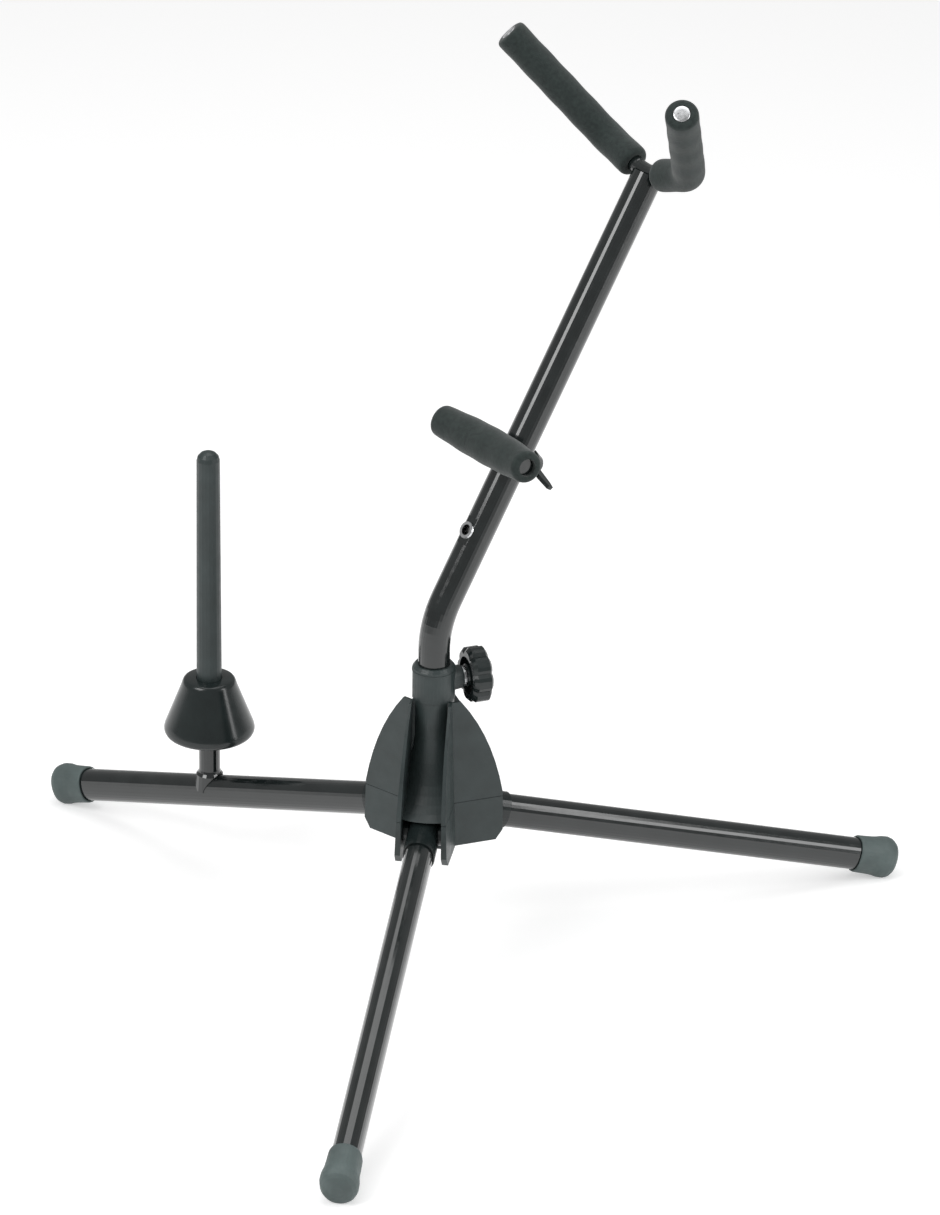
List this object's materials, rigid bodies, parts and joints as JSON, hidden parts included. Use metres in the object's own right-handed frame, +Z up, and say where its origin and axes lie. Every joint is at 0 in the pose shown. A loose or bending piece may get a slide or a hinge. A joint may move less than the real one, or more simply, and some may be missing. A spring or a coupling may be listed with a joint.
{
  "type": "instrument stand",
  "caption": "Folding saxophone stand with fold-down tripod legs, swivelling bent pole, padded yoke and rest, and a peg for a second instrument on one leg.",
  "frame": {"origin": "centre of the stand's bounding box, on the floor", "axes": "+Z up, -Y along the front leg, +X to the side of the right leg"},
  "size_m": [0.5384, 0.4688, 0.5465],
  "materials": {
    "black_lacquer": "gloss black lacquer",
    "hub_plastic": "satin moulded",
    "gloss_plastic": "smooth moulded",
    "rubber": "dull",
    "foam": "matt foam skin",
    "bright_steel": "zinc plated",
    "nylon": "plain"
  },
  "bodies": {
    "hub": {"hub_upper": "hub_plastic", "hub_lower": "hub_plastic", "hub_screw_1": "bright_steel", "hub_screw_2": "bright_steel", "hub_screw_3": "bright_steel", "leg_pin_front": "bright_steel", "leg_pin_right": "bright_steel", "leg_pin_left": "bright_steel", "clamp_collar": "hub_plastic", "clamp_insert": "bright_steel"},
    "clamp_pad": {"clamp_pad": "nylon"},
    "clamp_knob": {"clamp_knob": "gloss_plastic", "clamp_screw": "bright_steel"},
    "leg_front": {"leg_front_tube": "black_lacquer", "leg_front_knuckle": "gloss_plastic", "leg_front_foot": "rubber"},
    "leg_right": {"leg_right_tube": "black_lacquer", "leg_right_knuckle": "gloss_plastic", "leg_right_foot": "rubber"},
    "leg_left": {"leg_left_tube": "black_lacquer", "leg_left_knuckle": "gloss_plastic", "leg_left_foot": "rubber", "peg_stub": "black_lacquer", "peg_spindle": "bright_steel"},
    "peg_cone": {"peg_cone": "gloss_plastic"},
    "peg_rod": {"peg_rod": "hub_plastic"},
    "swivel": {"neck_bush": "nylon"},
    "pole": {"pole_tube": "black_lacquer", "pole_plug": "nylon", "pole_eyelet_upper": "bright_steel", "pole_eyelet_lower": "bright_steel", "yoke_rod": "black_lacquer", "yoke_foam_right": "foam", "yoke_foam_left": "foam", "rest_washer": "bright_steel"},
    "rest": {"rest_rod": "black_lacquer", "rest_foam": "foam", "rest_saddle": "hub_plastic", "rest_stud": "bright_steel"},
    "wing_nut": {"wing_nut": "gloss_plastic"}
  },
  "joints": [
    {"name": "leg_front_fold", "type": "hinge", "parent": "hub", "child": "leg_front", "pos_m": [0, 0.04672, 0.093], "axis": [1, 0, 0], "range_deg": [0, 73]},
    {"name": "leg_right_fold", "type": "hinge", "parent": "hub", "child": "leg_right", "pos_m": [0.02338, 0.08722, 0.093], "axis": [-0.5, 0.866, 0], "range_deg": [0, 73]},
    {"name": "leg_left_fold", "type": "hinge", "parent": "hub", "child": "leg_left", "pos_m": [-0.02338, 0.08722, 0.093], "axis": [-0.5, -0.866, 0], "range_deg": [0, 73]},
    {"name": "pole_swivel", "type": "hinge", "parent": "hub", "child": "swivel", "pos_m": [0, 0.07372, 0.14], "axis": [0, 0, 1], "continuous": true},
    {"name": "pole_height", "type": "slide", "parent": "swivel", "child": "pole", "axis": [0, 0, 1], "range_m": [0, 0.05]},
    {"name": "clamp_pad_slide", "type": "slide", "parent": "hub", "child": "clamp_pad", "axis": [0.866, 0.5, 0], "range_m": [0, 0.002]},
    {"name": "clamp_knob_turn", "type": "hinge", "parent": "clamp_pad", "child": "clamp_knob", "pos_m": [0, 0.07372, 0.1815], "axis": [0.866, 0.5, 0], "range_deg": [0, 720]},
    {"name": "rest_slide", "type": "slide", "parent": "pole", "child": "rest", "axis": [-0.5926, -0.6169, 0.518], "range_m": [0, 0.003]},
    {"name": "wing_nut_turn", "type": "hinge", "parent": "pole", "child": "wing_nut", "pos_m": [0.03951, 0.11485, 0.31258], "axis": [0.5926, 0.6169, -0.518], "range_deg": [0, 1080]},
    {"name": "peg_cone_lift", "type": "slide", "parent": "leg_left", "child": "peg_cone", "axis": [0, 0, 1], "range_m": [0, 0.0075]},
    {"name": "peg_rod_turn", "type": "hinge", "parent": "peg_cone", "child": "peg_rod", "pos_m": [-0.15467, 0.16302, 0.0477], "axis": [0, 0, 1], "range_deg": [0, 2160]}
  ],
  "couplings": [
    {"joint": "clamp_knob_turn", "follows": "clamp_pad_slide", "rad_per_m": 6283.2},
    {"joint": "wing_nut_turn", "follows": "rest_slide", "rad_per_m": 6283.2},
    {"joint": "peg_rod_turn", "follows": "peg_cone_lift", "rad_per_m": 5026.5}
  ]
}
